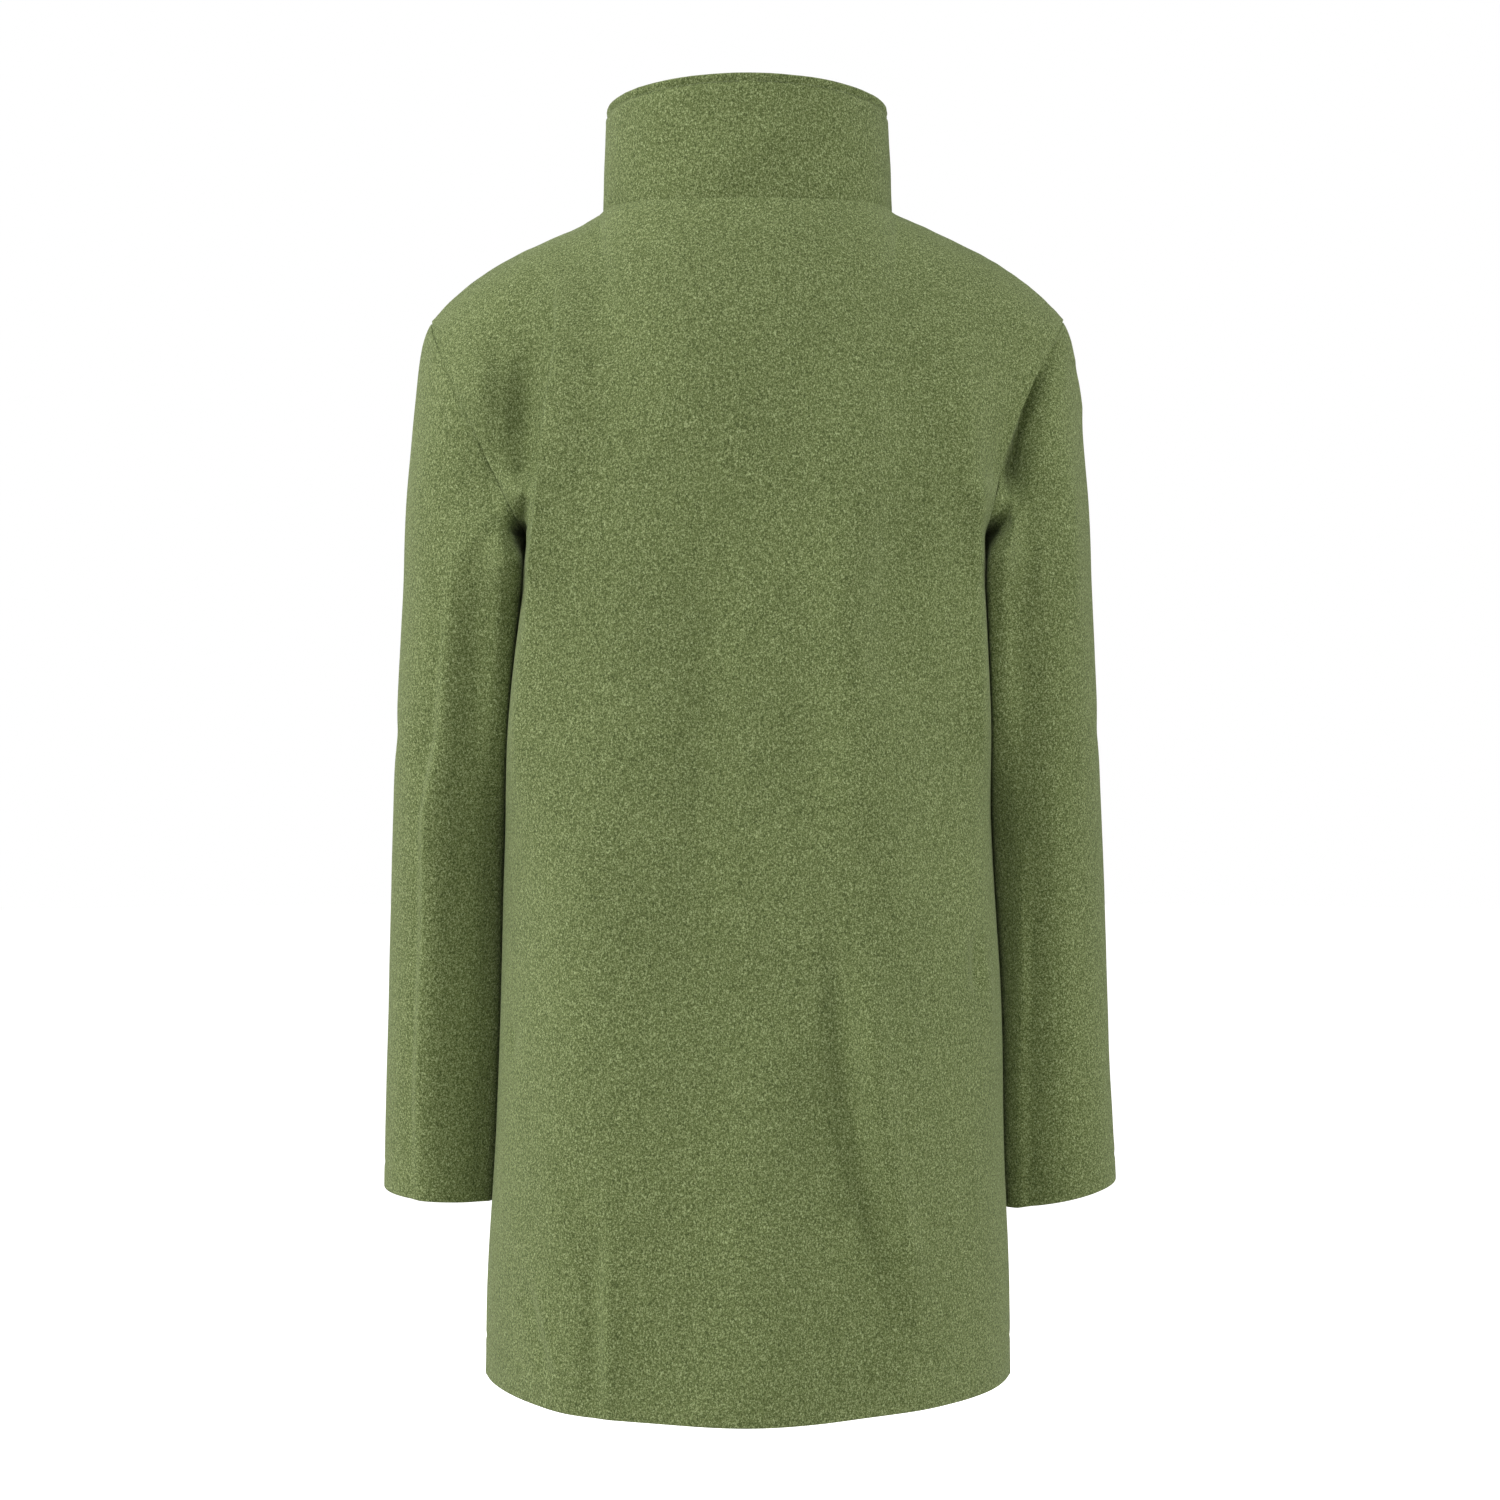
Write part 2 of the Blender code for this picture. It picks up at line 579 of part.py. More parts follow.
def add_buttons(collection, cutter_collection):
    cutters = [button_cutter(f"thread_hole_{k + 1}", math.pi / 4 + k * math.pi / 2, cutter_collection)
               for k in range(4)]
    mesh = button_mesh(cutters)
    mesh.name = "button"
    mesh.materials.clear()
    mesh.materials.append(material("button", HORN))
    for number, z in enumerate(BUTTON_HEIGHTS, start=1):
        surface = front_middle(z)
        above, below = z + BUTTON["radius"], z - BUTTON["radius"]
        slope = (front_middle(above) - front_middle(below)) / (above - below)
        button = bpy.data.objects.new(f"button_{number}", mesh)
        button.location = (0.0, surface - BUTTON_GAP, z)
        button.rotation_euler = (math.pi / 2 - math.atan(slope), 0.0, 0.0)
        collection.objects.link(button)


def main():
    for old in list(bpy.data.objects):
        bpy.data.objects.remove(old)
    coat = bpy.data.collections.new("wool_coat")
    cutters = bpy.data.collections.new("wool_coat_cutters")
    for collection in (coat, cutters):
        bpy.context.scene.collection.children.link(collection)
    add_cloth(coat)
    add_buttons(coat, cutters)


main()
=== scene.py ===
import math
import bmesh
import bpy
import numpy as np
from mathutils import Matrix, Vector, kdtree, noise
from mathutils.bvhtree import BVHTree


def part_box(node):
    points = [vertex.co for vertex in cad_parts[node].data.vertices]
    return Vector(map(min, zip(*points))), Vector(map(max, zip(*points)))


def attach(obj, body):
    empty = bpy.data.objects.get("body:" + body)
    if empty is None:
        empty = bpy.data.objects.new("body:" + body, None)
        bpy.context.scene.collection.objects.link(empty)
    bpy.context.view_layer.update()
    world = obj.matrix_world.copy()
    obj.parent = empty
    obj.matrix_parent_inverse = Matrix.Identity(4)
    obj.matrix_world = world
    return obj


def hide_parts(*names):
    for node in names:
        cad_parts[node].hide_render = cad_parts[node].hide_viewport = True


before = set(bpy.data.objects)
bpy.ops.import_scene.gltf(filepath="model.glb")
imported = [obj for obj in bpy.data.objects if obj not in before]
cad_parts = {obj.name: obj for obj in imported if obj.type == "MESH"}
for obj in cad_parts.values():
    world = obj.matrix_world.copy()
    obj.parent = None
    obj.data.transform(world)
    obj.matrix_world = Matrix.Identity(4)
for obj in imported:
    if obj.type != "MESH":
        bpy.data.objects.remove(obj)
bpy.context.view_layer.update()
print("frame loaded with", len(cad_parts), "pieces")

# the photograph looks level at the back of the coat
photo = {
    "distance": 1.70,           # from the plane through both side seams
    "metresPerPixel": 0.00067,  # in that plane
    "pixels": 1500,
    "height": -0.3524,
    "sideways": -0.0017,
    "sensor": 36.0,
}


def addCamera():
    camera = bpy.data.objects.new("camera", bpy.data.cameras.new("camera"))
    camera.data.sensor_width = photo["sensor"]
    camera.data.lens = photo["sensor"] * photo["distance"] / (photo["pixels"] * photo["metresPerPixel"])
    camera.location = (photo["sideways"], photo["distance"], photo["height"])
    camera.rotation_euler = (math.pi / 2, 0.0, math.pi)
    bpy.context.scene.collection.objects.link(camera)
    bpy.context.scene.camera = camera


addCamera()
print("camera placed")


def linearColour(hexColour):
    channels = [int(hexColour[k:k + 2], 16) / 255 for k in (1, 3, 5)]
    return [c / 12.92 if c <= 0.04045 else ((c + 0.055) / 1.055) ** 2.4 for c in channels] + [1.0]


def addNode(tree, kind, settings=None, values=None, links=None):
    # settings are the node's own, values fill its sockets, links join them to other nodes
    node = tree.nodes.new(kind)
    for name, value in (settings or {}).items():
        setattr(node, name, value)
    for socket, value in (values or {}).items():
        node.inputs[socket].default_value = value
    for socket, source in (links or {}).items():
        tree.links.new(source, node.inputs[socket])
    return node


def newMaterial(name):
    material = bpy.data.materials.new(name)
    material.use_nodes = True
    shader = material.node_tree.nodes["Principled BSDF"]
    return material, material.node_tree, shader


# wool coating, woven, milled and brushed: matte, with a pale nap over a salt-and-pepper
# of dyed and undyed fibres
woolLook = {
    "deep": "#434f2b",
    "middle": "#6e7a4b",
    "light": "#a5b181",
    "stops": (0.12, 0.50, 0.90),    # where these three stand in the mottle
    "fleckSize": 0.0014,     # clumps of fibre, metres
    "fibreSize": 0.00075,    # single tufts, drawn coarser than they are so that they show
    "streakLength": 2.2,     # how much longer than wide the drawn-out fibres are
    "streakTurns": (0.6, -0.7),     # radians: the two ways that they lie
    "streakShare": 0.7,      # of the mottle, where the tufts have 1
    "clumpShare": 0.7,
    "mottleRange": (0.98, 1.58),    # of the patterns' sum, from deep to light
    "toneSize": 0.09,        # slow changes of tone over the cloth
    "toneRange": (0.96, 1.04),
    "napHeight": 0.00045,
    "napStrength": 0.8,
    "roughness": 0.93,
    "ior": 1.45,
    "specular": 0.2,
    "sheen": 0.20,
    "sheenRoughness": 0.45,
    "sheenColour": "#c9d2b4",
}


def brushedWool(name):
    look = woolLook
    material, tree, shader = newMaterial(name)
    place = addNode(tree, "ShaderNodeTexCoord").outputs["Object"]
    clumps = addNode(tree, "ShaderNodeTexNoise",
                     values={"Scale": 1 / look["fleckSize"], "Detail": 2.0, "Roughness": 0.65},
                     links={"Vector": place})
    tufts = addNode(tree, "ShaderNodeTexNoise",
                    values={"Scale": 1 / look["fibreSize"], "Detail": 2.0, "Roughness": 0.7},
                    links={"Vector": place})
    streaks = []
    for turn in look["streakTurns"]:
        turned = addNode(tree, "ShaderNodeMapping",
                         values={"Rotation": (0.0, turn, 0.0), "Scale": (1.0, 1.0, 1 / look["streakLength"])},
                         links={"Vector": place})
        streaks.append(addNode(tree, "ShaderNodeTexNoise",
                               values={"Scale": 1 / look["fibreSize"], "Detail": 1.0},
                               links={"Vector": turned.outputs["Vector"]}))
    crossed = addNode(tree, "ShaderNodeMath", {"operation": "MAXIMUM"},
                      links={0: streaks[0].outputs["Fac"], 1: streaks[1].outputs["Fac"]})
    felted = addNode(tree, "ShaderNodeMath", {"operation": "MULTIPLY_ADD"}, values={1: look["streakShare"]},
                     links={0: crossed.outputs[0], 2: tufts.outputs["Fac"]})
    mottle = addNode(tree, "ShaderNodeMath", {"operation": "MULTIPLY_ADD"}, values={1: look["clumpShare"]},
                     links={0: clumps.outputs["Fac"], 2: felted.outputs[0]})
    least, most = look["mottleRange"]
    shade = addNode(tree, "ShaderNodeMapRange", values={"From Min": least, "From Max": most},
                    links={"Value": mottle.outputs[0]})
    ramp = addNode(tree, "ShaderNodeValToRGB", links={"Fac": shade.outputs["Result"]})
    stops = ramp.color_ramp.elements
    deepAt, middleAt, lightAt = look["stops"]
    stops[0].position, stops[0].color = deepAt, linearColour(look["deep"])
    stops[1].position, stops[1].color = lightAt, linearColour(look["light"])
    middle = stops.new(middleAt)
    middle.color = linearColour(look["middle"])
    slow = addNode(tree, "ShaderNodeTexNoise", values={"Scale": 1 / look["toneSize"], "Detail": 2.0},
                   links={"Vector": place})
    # this noise lies between about 0.3 and 0.7
    lowest, highest = look["toneRange"]
    slowRange = addNode(tree, "ShaderNodeMapRange",
                        values={"From Min": 0.3, "From Max": 0.7, "To Min": lowest, "To Max": highest},
                        links={"Value": slow.outputs["Fac"]})
    toned = addNode(tree, "ShaderNodeHueSaturation",
                    links={"Value": slowRange.outputs["Result"], "Color": ramp.outputs["Color"]})
    tree.links.new(toned.outputs["Color"], shader.inputs["Base Color"])
    bump = addNode(tree, "ShaderNodeBump",
                   values={"Strength": look["napStrength"], "Distance": look["napHeight"]},
                   links={"Height": mottle.outputs[0]})
    tree.links.new(bump.outputs["Normal"], shader.inputs["Normal"])
    shader.inputs["Roughness"].default_value = look["roughness"]
    shader.inputs["IOR"].default_value = look["ior"]
    shader.inputs["Specular IOR Level"].default_value = look["specular"]
    shader.inputs["Sheen Weight"].default_value = look["sheen"]
    shader.inputs["Sheen Roughness"].default_value = look["sheenRoughness"]
    shader.inputs["Sheen Tint"].default_value = linearColour(look["sheenColour"])
    return material


# polyester sewing thread, spun: half matt, its tone changing along the twist
threadLook = {"colour": "#5f6b42", "light": "#7d8a5e", "roughness": 0.6, "twist": 0.0006}


def spunThread(name):
    look = threadLook
    material, tree, shader = newMaterial(name)
    place = addNode(tree, "ShaderNodeTexCoord").outputs["Object"]
    twist = addNode(tree, "ShaderNodeTexNoise", values={"Scale": 1 / look["twist"], "Detail": 1.0},
                    links={"Vector": place})
    blend = addNode(tree, "ShaderNodeMix", {"data_type": "RGBA"},
                    values={6: linearColour(look["colour"]), 7: linearColour(look["light"])},
                    links={0: twist.outputs["Fac"]})
    tree.links.new(blend.outputs[2], shader.inputs["Base Color"])
    shader.inputs["Roughness"].default_value = look["roughness"]
    return material


# horn-look polyester resin, cast and polished: brown-green, mottled, with a soft gloss
buttonLook = {
    "dark": "#2b2619",
    "light": "#6a5f41",
    "stops": (0.38, 0.68),   # where these two stand in the clouds
    "cloudSize": 0.006,
    "cloudTwist": 1.2,
    "grainSize": 0.0009,
    "roughness": (0.22, 0.40),
    "ior": 1.56,
    "coat": 0.3,
    "coatRoughness": 0.15,
}


def hornResin(name):
    look = buttonLook
    material, tree, shader = newMaterial(name)
    place = addNode(tree, "ShaderNodeTexCoord").outputs["Object"]
    clouds = addNode(tree, "ShaderNodeTexNoise",
                     values={"Scale": 1 / look["cloudSize"], "Detail": 3.0,
                             "Distortion": look["cloudTwist"]},
                     links={"Vector": place})
    blend = addNode(tree, "ShaderNodeValToRGB", links={"Fac": clouds.outputs["Fac"]})
    stops = blend.color_ramp.elements
    darkAt, lightAt = look["stops"]
    stops[0].position, stops[0].color = darkAt, linearColour(look["dark"])
    stops[1].position, stops[1].color = lightAt, linearColour(look["light"])
    tree.links.new(blend.outputs["Color"], shader.inputs["Base Color"])
    grain = addNode(tree, "ShaderNodeTexNoise", values={"Scale": 1 / look["grainSize"]},
                    links={"Vector": place})
    smoothest, roughest = look["roughness"]
    gloss = addNode(tree, "ShaderNodeMapRange", values={"To Min": smoothest, "To Max": roughest},
                    links={"Value": grain.outputs["Fac"]})
    tree.links.new(gloss.outputs["Result"], shader.inputs["Roughness"])
    shader.inputs["IOR"].default_value = look["ior"]
    shader.inputs["Coat Weight"].default_value = look["coat"]
    shader.inputs["Coat Roughness"].default_value = look["coatRoughness"]
    return material


wool = brushedWool("brushed_wool_coating")
thread = spunThread("spun_polyester_thread")
horn = hornResin("polished_horn_resin")
print("materials made")


# each cloth piece is its imported solid's own surface, smoothed, then folded along the listed lines
cloth = {
    "mergeWithin": 0.00002,
    "pairWithin": 40.0,      # degrees: two triangles this nearly flat are one face again
    "pairSkew": 120.0,       # degrees: and however skew that face is
    "sharpTurn": 38.0,       # degrees: faces that turn more than this meet at a cut or folded edge
    "seamReach": 0.0013,     # an edge this near another piece is sewn to it
    "seamRoll": 0.0004,      # how far a seam's edge rolls in
    "seamMeet": 0.00018,     # how far past the middle of its gap each seam's edge is drawn
    "edgeRoll": 0.0017,      # how far a hem, cuff or front edge rolls over
    "levels": 2,
    "linePitch": 0.001,      # spacing of the points that mark seams and edges
    "facingPoints": 5,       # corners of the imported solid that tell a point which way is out
    "facingBlur": 0.004,
    "facingFade": (0.10, 0.50),     # a fold fades where the cloth turns away from its side
    "foldEnds": 0.3,         # share of a fold's line over which each end fades
    "unevenSize": 0.055,     # slow waves that no maker presses out
    "unevenHeight": 0.0007,
    "unevenFade": 0.030,     # this far from a seam they have their full height
    "finerHeight": 0.4,      # finer waves among them: their share of the height
    "finerTimes": 2.6,       # and how many times finer they are
    "waveSeeds": (3.7, 8.2),
    "puckerSize": 0.009,
    "puckerHeight": 0.00035,
    "puckerReach": 0.009,
    "grooveDepth": 0.00020,
    "grooveReach": 0.0022,
    "armholeReach": 0.006,   # how far the step at an armhole seam runs into the cloth
    "armholeTop": (-0.085, -0.105), # the step starts here and is full below
    "headStep": 0.0005,      # above, the sleeve's head stands a little proud of the body instead
    "behindFade": (0.0, 0.028),     # armpits are filled behind the side seams alone
    "tipFade": (0.150, 0.205),      # how far out the rounding of the shoulder points sets in
    "shoulderRound": [
        # level, half height, and reach outward at the left and at the right
        (-0.0635, 0.0045, -0.0012, -0.0006),
        (-0.0740, 0.0090, 0.0010, 0.0012),
        (-0.0840, 0.0160, 0.0034, 0.0034),
        (-0.0940, 0.0080, 0.0000, -0.0018),
        (-0.1150, 0.0200, 0.0014, 0.0014),
    ],
    "pressFrom": 0.012,      # a sleeve this near the body is drawn to it
    "pressFull": 0.002,      # and nearer than this it rests against it
    "pressGap": 0.0004,
    "pressFacing": (0.5, 0.9),
}
bodyNodes = ("back", "front_left", "front_right")
clothNodes = bodyNodes + ("collar", "sleeve_left", "sleeve_right")


def solidAsQuads(node):
    bm = bmesh.new()
    bm.from_mesh(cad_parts[node].data)
    bmesh.ops.remove_doubles(bm, verts=bm.verts, dist=cloth["mergeWithin"])
    bmesh.ops.join_triangles(bm, faces=bm.faces, angle_face_threshold=math.radians(cloth["pairWithin"]),
                             angle_shape_threshold=math.radians(cloth["pairSkew"]))
    bm.normal_update()
    return bm


def markSkins(bm, node):
    # material 0 on the outer skin, 1 on the inner skin, 2 on the rims between them
    for face in bm.faces:
        face.tag = False
        face.material_index = 2
    groups = []
    for first in bm.faces:
        if first.tag:
            continue
        first.tag = True
        waiting, group = [first], []
        while waiting:
            face = waiting.pop()
            group.append(face)
            for edge in face.edges:
                if edge.calc_face_angle(0.0) > math.radians(cloth["sharpTurn"]):
                    continue
                for beside in edge.link_faces:
                    if not beside.tag:
                        beside.tag = True
                        waiting.append(beside)
        groups.append(group)
    groups.sort(key=lambda group: -sum(face.calc_area() for face in group))
    low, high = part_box(node)
    middle = (Vector(low) + Vector(high)) / 2 if node.startswith("sleeve") else Vector()

    def outward(group):
        total = 0.0
        for face in group:
            away = face.calc_center_median() - middle
            away.z = 0.0
            total += face.normal.dot(away) * face.calc_area()
        return total

    skins = sorted(groups[:2], key=outward)
    for face in skins[0]:
        face.material_index = 1
    for face in skins[1]:
        face.material_index = 0


def surfaceOf(mesh):
    corners = [vert.co for vert in mesh.vertices]
    return BVHTree.FromPolygons(corners, [list(face.vertices) for face in mesh.polygons])


def sewnTo(node):
    # the fronts overlap but aren't sewn to each other
    return [other for other in clothNodes if other != node and {other, node} != {"front_left", "front_right"}]


def nearestPlace(point, trees, reach):
    # (place, distance) on the nearest of the surfaces, or None
    found = [tree.find_nearest(point, reach) for tree in trees]
    found = [(place, distance) for place, _, _, distance in found if place is not None]
    return min(found, key=lambda pair: pair[1]) if found else None


def sharpEdges(bm, neighbours):
    # (edges sewn to another piece, free edges), each where two faces meet sharply
    seams, free = [], []
    for edge in bm.edges:
        if edge.calc_face_angle(0.0) <= math.radians(cloth["sharpTurn"]):
            continue
        middle = (edge.verts[0].co + edge.verts[1].co) / 2
        (seams if nearestPlace(middle, neighbours, cloth["seamReach"]) else free).append(edge)
    return seams, free


def drawTogether(seams, neighbours):
    # a seam's edge moves half way to its neighbour, so that no light falls through
    for vert in {vert for edge in seams for vert in edge.verts}:
        near = nearestPlace(vert.co, neighbours, cloth["seamReach"])
        if near and near[1] > cloth["seamMeet"]:
            vert.co += (near[0] - vert.co) * (0.5 + cloth["seamMeet"] / near[1])


def pointsAlong(edges):
    # points on the outer skin's border, close together
    points = []
    for edge in edges:
        if sorted(face.material_index for face in edge.link_faces) != [0, 2]:
            continue
        start, end = edge.verts[0].co, edge.verts[1].co
        steps = max(1, int((end - start).length / cloth["linePitch"]))
        points += [start.lerp(end, k / steps) for k in range(steps)]
    return points


def treeOf(points):
    tree = kdtree.KDTree(len(points))
    for k, point in enumerate(points):
        tree.insert(point, k)
    tree.balance()
    return tree


def evaluatedMesh(obj):
    made = bpy.data.meshes.new_from_object(obj.evaluated_get(bpy.context.evaluated_depsgraph_get()))
    bpy.data.objects.remove(obj)
    return made


def smoothedSolid(node):
    # the smoothed mesh, and the border lines and outward directions that the folding needs
    bm = solidAsQuads(node)
    markSkins(bm, node)
    neighbours = [surfaces[other] for other in sewnTo(node)]
    seams, free = sharpEdges(bm, neighbours)
    drawTogether(seams, neighbours)
    bm.normal_update()
    lines = {"seam": pointsAlong(seams), "free": pointsAlong(free)}
    lines["armhole"] = lines["seam"]
    if node in bodyNodes:
        sleeves = [surfaces["sleeve_left"], surfaces["sleeve_right"]]
        reach = cloth["seamReach"]
        lines["armhole"] = [point for point in lines["seam"] if nearestPlace(point, sleeves, reach)]
    outward = {}
    for vert in bm.verts:
        normal = Vector()
        for face in vert.link_faces:
            if face.material_index == 0:
                normal += face.normal * face.calc_area()
        if normal.length > 0:
            outward[vert.co.copy().freeze()] = normal.normalized()
    bmesh.ops.bevel(bm, geom=seams, offset=cloth["seamRoll"], segments=2, profile=0.5, affect="EDGES",
                    material=-1, clamp_overlap=True)
    free = [edge for edge in free if edge.is_valid]
    bmesh.ops.bevel(bm, geom=free, offset=cloth["edgeRoll"], segments=3, profile=0.5, affect="EDGES",
                    material=-1, clamp_overlap=True)
    cage = bpy.data.meshes.new(node + "_cage")
    bm.to_mesh(cage)
    bm.free()
    obj = bpy.data.objects.new(node + "_cage", cage)
    bpy.context.scene.collection.objects.link(obj)
    smooth = obj.modifiers.new("smooth", "SUBSURF")
    smooth.levels = smooth.render_levels = cloth["levels"]
    mesh = evaluatedMesh(obj)
    bm = bmesh.new()
    bm.from_mesh(mesh)
    outer = [face for face in bm.faces if face.material_index == 0]
    edges = list({edge for face in outer for edge in face.edges})
    bmesh.ops.subdivide_edges(bm, edges=edges, cuts=1, use_grid_fill=True)
    bm.to_mesh(mesh)
    bm.free()
    return mesh, lines, outward


def smoothStep(low, high, value):
    t = np.clip((value - low) / (high - low), 0.0, 1.0)
    return t * t * (3 - 2 * t)


# each side's axis and sign
facings = {"back": (1, 1.0), "front": (1, -1.0), "left": (0, 1.0), "right": (0, -1.0)}


def alongPath(places, path):
    # distance from a line of points, side (above 0 to the left of its run) and share of its length
    path = np.array(path)
    lengths = np.linalg.norm(np.diff(path, axis=0), axis=1)
    starts = np.concatenate(([0.0], np.cumsum(lengths)))
    nearest = np.full(len(places), np.inf)
    along, side = np.zeros(len(places)), np.zeros(len(places))
    for k, length in enumerate(lengths):
        run = (path[k + 1] - path[k]) / length
        away = places - path[k]
        t = np.clip(away @ run, 0.0, length)
        distance = np.linalg.norm(away - t[:, None] * run, axis=1)
        closer = distance < nearest
        nearest = np.where(closer, distance, nearest)
        along = np.where(closer, (starts[k] + t) / starts[-1], along)
        side = np.where(closer, np.sign(run[0] * away[:, 1] - run[1] * away[:, 0]), side)
    return nearest, side, along


def fadedEnds(along):
    return smoothStep(0.0, cloth["foldEnds"], along) * smoothStep(0.0, cloth["foldEnds"], 1.0 - along)


def softSection(distance, halfWidth):
    return np.exp(-0.5 * (distance / halfWidth) ** 2)


def foldHeights(points, outward, toSeam, folds):
    total = np.zeros(len(points))
    for side, path, halfWidth, height, fade, *run in folds:
        axis, sign = facings[side]
        seen = smoothStep(*cloth["facingFade"], sign * outward[:, axis])
        distance, beside, along = alongPath(points[:, [1 - axis, 2]], path)
        section = softSection(distance, halfWidth)
        if run:
            away = distance * beside * np.sign(run[0])
            dropped = smoothStep(-halfWidth / 2, halfWidth / 2, away)
            section = dropped * (1.0 - smoothStep(0.0, abs(run[0]), away))
        total += height * seen * fadedEnds(along) * smoothStep(0.0, fade, toSeam) * section
    return total


def sharedMoves(points):
    # what every piece does alike, so that no seam opens: fuller armpits and rounder shoulder points
    moves = np.zeros((len(points), 3))
    behind = smoothStep(*cloth["behindFade"], points[:, 1])
    for path, halfWidth, height in armpitFills:
        distance, _, along = alongPath(points[:, [0, 2]], path)
        moves[:, 1] += height * behind * fadedEnds(along) * softSection(distance, halfWidth)
    tip = np.sign(points[:, 0]) * smoothStep(*cloth["tipFade"], np.abs(points[:, 0]))
    for level, halfHeight, left, right in cloth["shoulderRound"]:
        reach = np.where(points[:, 0] > 0, left, right)
        moves[:, 0] += reach * tip * softSection(points[:, 2] - level, halfHeight)
    return moves


def unevenness(points, size, seed):
    return np.array([noise.noise(Vector(point) / size + Vector((seed, 0.0, 0.0))) for point in points])


def outwardOf(points, outwardAt):
    # each point's outward direction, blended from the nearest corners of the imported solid
    corners = list(outwardAt)
    normals = np.array([outwardAt[corner] for corner in corners])
    tree = treeOf(corners)
    outward = np.empty((len(points), 3))
    for k, point in enumerate(points):
        near = tree.find_n(point, cloth["facingPoints"])
        weights = np.array([1.0 / (found[2] + cloth["facingBlur"]) ** 2 for found in near])
        outward[k] = (normals[[found[1] for found in near]] * weights[:, None]).sum(axis=0)
    return outward / np.linalg.norm(outward, axis=1, keepdims=True)


def distancesTo(line, points):
    tree = treeOf(line)
    return np.array([tree.find(point)[2] for point in points])


def puckers(seamLine, points, toSeam):
    # the cloth rises and sinks along a seam
    tree = treeOf(seamLine)
    total = np.zeros(len(points))
    for k in np.nonzero(toSeam < 3 * cloth["puckerReach"])[0]:
        total[k] = noise.noise(tree.find(points[k])[0] / cloth["puckerSize"])
    return cloth["puckerHeight"] * total * np.exp(-toSeam / cloth["puckerReach"])


def slowWaves(points, toSeam):
    size, (first, second) = cloth["unevenSize"], cloth["waveSeeds"]
    waves = unevenness(points, size, first)
    waves += cloth["finerHeight"] * unevenness(points, size / cloth["finerTimes"], second)
    return cloth["unevenHeight"] * waves * smoothStep(0.0, cloth["unevenFade"], toSeam)


def armholeStep(points, armholeLine, step):
    # body and sleeve lie at different heights along the armhole, the other way round at the shoulder
    lowered = smoothStep(*cloth["armholeTop"], points[:, 2])
    stepped = step * lowered - math.copysign(cloth["headStep"], step) * (1.0 - lowered)
    return stepped * np.exp(-(distancesTo(armholeLine, points) / cloth["armholeReach"]) ** 2)


def foldCloth(mesh, lines, outwardAt, folds, calm, rows, step, rests):
    points = np.empty(len(mesh.vertices) * 3)
    mesh.vertices.foreach_get("co", points)
    points = points.reshape(-1, 3)
    outward = outwardOf(points, outwardAt)
    toSeam = distancesTo(lines["seam"], points)
    heights = foldHeights(points, outward, toSeam, folds)
    heights += slowWaves(points, toSeam) * calm(points, outward)
    heights += puckers(lines["seam"], points, toSeam)
    heights -= cloth["grooveDepth"] * np.exp(-(toSeam / cloth["grooveReach"]) ** 2)
    heights += stitchGrooves(points, distancesTo(lines["free"], points), rows)
    if step:
        heights += armholeStep(points, lines["armhole"], step)
    points += outward * heights[:, None] + sharedMoves(points)
    if rests:
        for k, point in enumerate(points):
            points[k] = pressed(Vector(point), Vector(outward[k]), rests)
    mesh.vertices.foreach_set("co", points.ravel())
    mesh.update()


def pressed(point, outward, rests):
    # cloth that faces the piece it rests on, close by, is drawn up to it
    near = nearestPlace(point, rests, cloth["pressFrom"])
    if near is None or near[1] < cloth["pressGap"]:
        return point
    place, gap = near
    facing = (place - point).dot(outward) / gap
    share = float(smoothStep(*cloth["pressFacing"], facing))
    share *= 1.0 - float(smoothStep(cloth["pressFull"], cloth["pressFrom"], gap))
    return point + (place - point) * (share * (1.0 - cloth["pressGap"] / gap))


stitching = {
    "grooveReach": 0.0021,
    "tuftReach": 0.0063,     # how far the cloth beside a row is uneven
    "tuftSize": 0.007,
    "tuftSeed": 9.1,
    "pitch": 0.0036,         # from one stitch to the next
    "length": 0.0029,
    "threadRadius": 0.00026,
    "fromEdge": 0.0055,      # the topstitch of the collar and the front edge
}
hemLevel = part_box("back")[0][2]


def stitchGrooves(points, toFree, rows):
    # a line of stitches pulls the cloth in, a little unevenly
    total = np.zeros(len(points))
    for measure, fromEdge, (noneAt, fullAt), depth, tuft in rows:
        away = (points[:, 2] - hemLevel if measure == "hem" else toFree) - fromEdge
        present = smoothStep(noneAt, fullAt, points[:, 2])
        line = np.exp(-(away / stitching["grooveReach"]) ** 2)
        beside = np.exp(-(away / stitching["tuftReach"]) ** 2) * present
        near = np.nonzero(beside > 0.02)[0]
        tufts = np.zeros(len(points))
        tufts[near] = unevenness(points[near], stitching["tuftSize"], stitching["tuftSeed"])
        total += tuft * tufts * beside - depth * line * present
    return total


# where the slow waves are left out, so that nothing rubs through: ranges of how squarely
# the cloth faces sideways, and of how far it lies from the middle
stillParts = {
    "bodySides": (0.75, 0.95),
    "closedFront": (0.034, 0.060),
    "sleeveInside": (0.3, 0.7),
    "sleeveOutside": (0.6, 0.9),
    "outsideShare": 0.7,
}


def calmSides(points, outward):
    # the body's sides and the closed front edge stay smooth
    sides = 1.0 - smoothStep(*stillParts["bodySides"], np.abs(outward[:, 0]))
    fromMiddle = smoothStep(*stillParts["closedFront"], np.abs(points[:, 0]))
    return sides * np.where(outward[:, 1] < 0, fromMiddle, 1.0)


